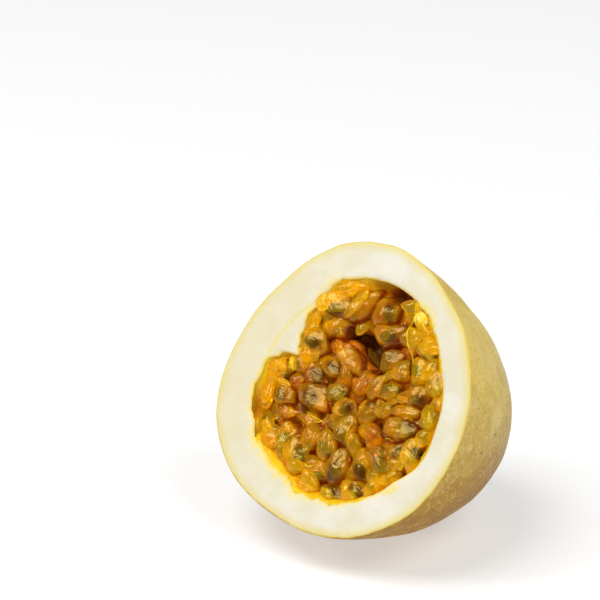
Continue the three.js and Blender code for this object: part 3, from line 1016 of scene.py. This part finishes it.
def lumpHeights(x, y):
    # the highest of many egg-shaped lumps on a jittered grid, as a height from 0 to 1
    rng = np.random.default_rng(71)
    step, (halfLong, halfWide) = bed["lumpSpacing"], bed["lumpHalves"]
    cells = np.arange(-30, 30, step)
    best = np.zeros_like(x)
    for cx in cells:
        for cy in cells:
            px, py = cx + rng.uniform(-0.3, 0.3) * step, cy + rng.uniform(-0.3, 0.3) * step
            way, rise = rng.uniform(0, np.pi), rng.uniform(0.55, 1.0)
            along, beside = turned(x - px, y - py, way)
            fallen = (along / halfLong) ** 2 + (beside / halfWide) ** 2
            best = np.maximum(best, rise * np.sqrt(np.clip(1 - fallen, 0, None)))
    return best


def makeBed():
    # the cavity's wall up to the rim depth, then rings that shrink to the middle, lumpy and crinkled
    angle = roundAngles(bed["columns"])
    rimDepth = angleCurve(bed["rimDepth"], angle)
    go = np.linspace(0, 1, bed["wallRows"])[:, None]
    lowest = cavityPole + bed["growsIn"]
    deep = lowest - (lowest - rimDepth) * np.sin(go * np.pi / 2)
    radius, x, y = cavitySection(angle, deep)
    radius = (radius + bed["growsIn"]) * np.where(go > 0, 1.0, 0.0)
    wall = fromPolar(radius, angle, x, y, deep)
    part = np.linspace(0, 1, bed["topRows"])[1:, None]
    shrink = 1 - part
    topX = x[-1, 0] + (wall[-1, :, 0] - x[-1, 0]) * shrink
    topY = y[-1, 0] + (wall[-1, :, 1] - y[-1, 0]) * shrink
    fromWall = radius[-1] * part
    fall = smoothStep(0, bed["climb"], fromWall) ** 0.7
    flat = np.stack([topX, topY, 0 * topX], -1)
    lumps = lumpHeights(topX, topY)
    crinkle = folds(flat, 2.2, 73) * 0.5 + folds(flat, 1.1, 74) * 0.25
    ease = smoothStep(0, 2.2, fromWall)
    depth = rimDepth + (bed["middleDepth"] - rimDepth) * fall - bed["lumpHeight"] * lumps * fall
    depth = depth - (crinkle - 0.3) * ease * (0.6 - 0.2 * fall)
    dips = hollowDepth(topX, topY)
    depth = np.maximum(depth + dips, 0.25)
    top = np.stack([topX, topY, -depth], -1)
    points = np.concatenate([wall, top])
    # amber rises towards the middle and in the dips as painted shade, and is lower on the lumps' tops as
    # painted light
    amber = 0.15 + 1.0 * fall + 1.0 * smoothStep(0.8, 3, dips) - 0.3 * lumps * fall
    marks = {"amber": np.concatenate([np.ones(wall.shape[:2]), amber])}
    return meshFrom("pulpBed", *closedPiece(points, marks))


def pulpMaterial():
    # duller than the juice: yellow at the wall, brown in the depth as painted shade
    material, tree, shader = newMaterial("deepPulp", {
        "Subsurface Weight": 0.5,
        "Subsurface Radius": (1.0, 0.5, 0.15),
        "Subsurface Scale": 0.0015,
        "Coat Roughness": 0.06,
    })
    tone, grain = unevenSurface(tree, 260.0, 1500.0, 0.3)
    amber = cloudyAmberAndShade(tone, 0.8)
    color = layered(rgb(1.0, 0.84, 0.12), [
        ((amber, 0.0, 0.6), (1.0, 0.70, 0.06)),
        ((amber, 0.0, -0.5), (0.97, 0.86, 0.42)),
        ((amber, 0.5, 1.1), (0.76, 0.38, 0.03)),
        ((amber, 1.1, 1.7), (0.34, 0.13, 0.01)),
    ])
    setInputs(shader, {"Base Color": color})
    bumpFrom(shader, grain, 0.15, 0.0003)
    dullWhereDeep(shader, amber, 0.2)
    return material


pulp = pulpMaterial()
finishPiece(makeBed(), pulp, ["pulp_bed"])
print("pulp bed ready")

# small sacs that fill the gaps: a ring along the pith and a layer under the big ones

smallSacs = {
    "ringSpacing": 5.2,
    "ringInset": (1.2, 3.4),    # from the pith's edge
    "ringDepth": (1.3, 2.6),
    "layerSpacing": 4.6,
    "layerDepth": (3.3, 4.8),
    "grid": (18, 26),
}


def creasedEllipsoid(centre, axes, half, grid, point, seed, amount, size=1.0):
    # an ellipsoid with blunt points and lengthwise creases; grid is its rows and columns
    points = ellipsoidSurface(centre, axes, half, *grid, point)
    v = np.linspace(0, np.pi, grid[0])[:, None] + np.zeros((1, grid[1]))
    return wrinkled(points, centre, axes, unit(points - centre), v, seed, amount, size)


def smallSac(rng, x, y, depth, degrees, length, width, number):
    # a pear-like ellipsoid with creases, tipped out of the plane of the cut
    axes = planeAxes(degrees, rng.uniform(-25, 25))
    half = np.array([length, width, width * rng.uniform(0.75, 0.95)]) / 2
    centre = np.array([x, y, -depth])
    point = rng.uniform(0.0, 0.2)
    return creasedEllipsoid(centre, axes, half, smallSacs["grid"], point, 900 + number, 1.2)


def makeSmallSacs():
    # first the ring along the pith, then a jittered grid that leaves out the edge and the hollows
    rng = np.random.default_rng(82)
    parts, places = [], []
    angle = 0.0
    while angle < 2 * math.pi:
        edge = float(angleCurve(rind["pithEdge"], np.array([angle]))[0])
        radius = edge - rng.uniform(*smallSacs["ringInset"])
        x, y = radius * math.cos(angle), radius * math.sin(angle)
        degrees = math.degrees(angle) + 90 + rng.uniform(-50, 50)
        depth = rng.uniform(*smallSacs["ringDepth"])
        places.append((x, y, depth, degrees, rng.uniform(4.6, 6.4), rng.uniform(2.8, 3.8)))
        angle += smallSacs["ringSpacing"] * rng.uniform(0.85, 1.15) / radius
    steps = np.arange(-26, 27, smallSacs["layerSpacing"])
    for gx in steps:
        for gy in steps:
            x, y = gx + rng.uniform(-1.3, 1.3), gy + rng.uniform(-1.3, 1.3)
            sunk = hollowDepth(np.array([x]), np.array([y]))[0]
            if edgeDistance(np.array([[x, y]]))[0] < 3.0 or sunk > 0.8:
                continue
            depth, degrees = rng.uniform(*smallSacs["layerDepth"]), rng.uniform(0, 180)
            places.append((x, y, depth, degrees, rng.uniform(6.4, 8.2), rng.uniform(3.8, 4.8)))
    for number, place in enumerate(places):
        points = smallSac(rng, *place, number)
        if hollowDepth(points[..., 0], points[..., 1]).max() > 3.0:
            continue
        shadow = np.zeros(points.shape[:2])
        parts.append(closedPiece(points, sacMarks(points, 60 + number, shadow)))
    return meshFrom("smallSacs", *joined(parts))


finishPiece(makeSmallSacs(), juice)
print("small sacs ready")

# slack bits that lie over the sacs: lobes of juice, crumpled yellow tissue and threads of torn membrane

extras = {
    # x, y, how far its top rises over the sacs, direction, length, width, creasing, tone
    "lobes": [
        (-2.9, 15.2, 0.3, 65, 4.2, 3.0, 1.6, 0.2), (-9.0, -19.0, 0.3, 336, 5.0, 2.4, 1.2, 0.7),
        (9.1, 5.9, 0.3, 35, 5.2, 2.4, 2.2, 0.1), (-1.8, 3.1, 0.2, 350, 5.6, 2.6, 1.6, 0.9),
        (4.4, -2.4, 0.3, 70, 3.8, 2.0, 1.6, 0.4), (11.5, -8.5, 0.3, -18, 4.2, 2.0, 2.6, 0.2),
        (8.2, -8.4, 0.2, -80, 5.4, 3.2, 1.8, 0.5), (6.6, -5.6, 0.3, 70, 3.4, 2.0, 2.6, 0.4),
        (-17.5, -1.8, 0.3, 350, 4.4, 1.5, 2.0, 0.1), (17.7, 14.0, 0.7, 0, 5.4, 3.2, 1.2, 0.0),
        (16.6, 17.6, 0.3, -60, 4.4, 2.2, 1.6, 0.1), (-4.5, 19.2, 0.4, 59, 7.4, 2.6, 1.8, 0.15),
        (13.4, 1.2, 0.3, 20, 5.6, 1.8, 2.2, 0.2), (-5.4, 8.6, 0.2, -40, 5.4, 1.7, 1.6, 0.5),
        (15.2, -19.0, 0.2, 25, 4.6, 2.2, 1.4, 0.4), (-13.4, -7.8, 0.3, 10, 4.2, 1.6, 2.4, 0.4),
    ],
    "tissue": [
        (-9.8, 20.9, 0.4, 35, 9.6, 4.6, 5.0, -0.2), (-12.4, 18.0, 0.3, 55, 5.4, 3.0, 4.2, -0.1),
        (-15.4, 12.4, 0.3, 75, 5.4, 2.8, 3.2, 0.0), (15.2, 18.0, 0.4, -58, 6.0, 3.0, 4.0, -0.1),
        (-20.2, 1.0, 0.4, 62, 5.8, 3.2, 4.0, -0.1), (-20.8, -4.4, 0.4, 96, 6.4, 2.8, 4.0, 0.0),
        (-16.6, -13.6, 0.4, 128, 5.8, 3.0, 4.0, 0.0), (-12.6, 5.4, 0.4, 40, 5.0, 3.0, 4.0, -0.1),
        (-11.6, -19.2, 0.3, 150, 5.8, 2.4, 3.6, 0.0), (-3.0, -22.8, 0.3, 178, 6.8, 2.2, 3.6, 0.0),
        (24.6, 4.0, 0.3, 95, 5.4, 1.8, 3.4, 0.0), (20.4, -11.0, 0.3, 60, 5.0, 2.4, 3.0, 0.0),
    ],
    "shreds": [
        (12.0, 20.4, 0.4, -48, 7.0, 2.6, 4.6, -0.25), (-17.2, -9.6, 0.5, 60, 1.7, 1.4, 1.0, -0.6),
        (-16.6, 3.2, 0.4, -50, 3.8, 2.0, 4.0, 0.1),
    ],
    # radius, then points along the thread
    "threads": [
        (0.15, [(10.0, 20.1), (10.2, 17.2), (10.9, 14.7), (12.9, 12.1), (14.6, 9.6)]),
        (0.12, [(-8.9, -6.5), (-6.5, -7.4), (-4.2, -7.7), (-1.2, -9.3)]),
        (0.12, [(-7.0, -9.6), (-4.2, -7.7), (-2.4, -5.7)]),
        (0.12, [(-4.0, -17.8), (-2.6, -18.4), (-1.0, -17.5)]),
        (0.12, [(9.8, -7.4), (12.2, -7.9), (14.8, -7.2), (16.6, -7.6)]),
    ],
    # flatness, pointedness, size of the creases and first of the random seeds
    "kinds": {
        "lobes": (0.62, 0.16, 1.0, 0),
        "tissue": (0.45, 0.0, 0.42, 40),
        "shreds": (0.45, 0.0, 0.42, 60),
    },
    # rows and columns of the mesh of each
    "grid": (64, 88),
    "cell": 0.5,            # grid that the sacs' tops are kept on, over a square about the middle
    "reach": 30.0,
}


def cellOf(place):
    # column and row of the grid that a place falls in
    return ((place + extras["reach"]) / extras["cell"]).astype(int)


def pulpTops():
    # the highest point of the sacs in each cell of a grid over the cut
    cells = int(2 * extras["reach"] / extras["cell"])
    tops = np.full((cells, cells), -4.0)
    points = np.concatenate([surface.reshape(-1, 3) for surface in sacSurfaces])
    cell = np.clip(cellOf(points[:, :2]), 0, cells - 1)
    np.maximum.at(tops, (cell[:, 0], cell[:, 1]), points[:, 2])
    return tops


def topAt(tops, x, y, reach=2):
    # mean height of the cells about a point
    column, row = cellOf(np.array([x, y]))
    return tops[column - reach:column + reach + 1, row - reach:row + reach + 1].mean()


def slackLobe(rng, tops, place, flat, point, size, number):
    # a flattened ellipsoid with deep creases, its top a little above the sacs
    x, y, rise, degrees, length, width, creasing, tone = place
    half = np.array([length, width, flat * width]) / 2
    top = min(topAt(tops, x, y) + rise, sacs["highest"])
    centre = np.array([x, y, top - half[2]])
    axes = planeAxes(degrees, rng.uniform(-8, 8))
    points = creasedEllipsoid(centre, axes, half, extras["grid"], point, 1500 + number, creasing, size)
    points[..., 2] = np.minimum(points[..., 2], sacs["highest"])
    tones = tone + 0.12 * waves(points, 2.5, 1600 + number)
    drop = points[..., 2].max() - points[..., 2]
    # painted shade down the lobe's sides
    side = smoothStep(0.4, 1.6, drop) * smoothStep(-0.2, 0.1, tone)
    none = 0 * tones
    marks = {"amber": tones, "seedShadow": none, "side": side, "rim": none, "film": none}
    return closedPiece(points, marks)


def thread(tops, radius, path, number):
    # a tube that follows the sacs' tops, thicker and thinner along its way
    path = np.array(path)
    station = np.linspace(0, len(path) - 1, 60)
    x, y = [np.interp(station, np.arange(len(path)), path[:, axis]) for axis in (0, 1)]
    heights = np.array([topAt(tops, *place, 1) for place in zip(x, y)])
    heights = np.maximum(heights, topAt(tops, *path[0], 6) - 1.2)
    smooth = np.ones(9) / 9
    padded = [np.pad(value, 4, mode="edge") for value in (x, y, heights)]
    line = np.stack([np.convolve(value, smooth, "valid") for value in padded], -1)
    line[:, 2] = np.minimum(line[:, 2] + 0.05, sacs["highest"])
    way = unit(np.gradient(line, axis=0))
    aside = unit(np.cross(way, [0, 0, 1]))
    over = np.cross(aside, way)
    ends = np.sin(np.linspace(0, np.pi, 60)) ** 0.35
    thick = radius * (1 + 0.35 * waves(line, 2.0, 1700 + number)) * ends
    turn = roundAngles(10)[..., None]
    ring = np.cos(turn) * aside[:, None] + np.sin(turn) * over[:, None]
    points = line[:, None] + thick[:, None, None] * ring
    return closedPiece(points, {"amber": np.full(points.shape[:2], 0.05)})


def makeExtras():
    # the lobes and tissue are one piece, the shreds and the threads one each
    rng = np.random.default_rng(91)
    tops = pulpTops()
    made = {}
    for kind, (*shape, first) in extras["kinds"].items():
        places = enumerate(extras[kind])
        made[kind] = [slackLobe(rng, tops, place, *shape, first + number) for number, place in places]
    lobes = made["lobes"] + made["tissue"]
    threads = [thread(tops, *item, number) for number, item in enumerate(extras["threads"])]
    finishPiece(meshFrom("slackLobes", *joined(lobes)), juice)
    finishPiece(meshFrom("shreds", *joined(made["shreds"])), pulp)
    finishPiece(meshFrom("threads", *joined(threads)), pulp)


makeExtras()
print("lobes, tissue and threads ready")

# stalk stub at the closed end

stub = {
    # [distance out of the skin, radius]
    "profile": [
        (-0.9, 1.5), (-0.2, 2.7), (0.4, 3.3), (0.9, 3.1), (1.3, 2.2), (1.9, 1.75), (3.0, 1.6), (3.6, 1.45),
        (3.95, 0.9),
    ],
    "ridges": 9,
    "ridgeDepth": 0.05,     # share of the radius
    "roughness": 0.07,
    "columns": 64,
    "rows": 48,
}


def makeStub():
    # a profile turned round the fruit's axis, with shallow lengthwise ridges and a rough broken end
    profile = np.array(stub["profile"])
    along = np.linspace(0, len(profile) - 1, stub["rows"])
    station, radius = [np.interp(along, np.arange(len(profile)), side)[:, None] for side in profile.T]
    angle = roundAngles(stub["columns"])
    ridges = stub["ridgeDepth"] * np.sin(stub["ridges"] * angle + 0.8 * np.sin(2 * angle))
    reach = radius * (1 + ridges * smoothStep(0, 1.5, station))
    reach[0], reach[-1] = 0, 0
    depth = skinPole - fruit["dimpleDepth"] + station
    points = fromPolar(reach, angle, 0, 0, depth + 0 * angle)
    rough = stub["roughness"] * waves(points, 1.4, 31)
    points = points * np.stack([1 + rough, 1 + rough, 1 + 0 * rough], -1)
    return meshFrom("stemStub", *closedPiece(points[::-1]))


driedStalk = brownMaterial(
    "driedStalk", 400.0, 1600.0, (0.26, 0.17, 0.09), (0.55, 0.42, 0.24), 0.6, 0.0004, {"Roughness": 0.85},
)
finishPiece(makeStub(), driedStalk, ["stem_stub"])
print("stalk stub ready")
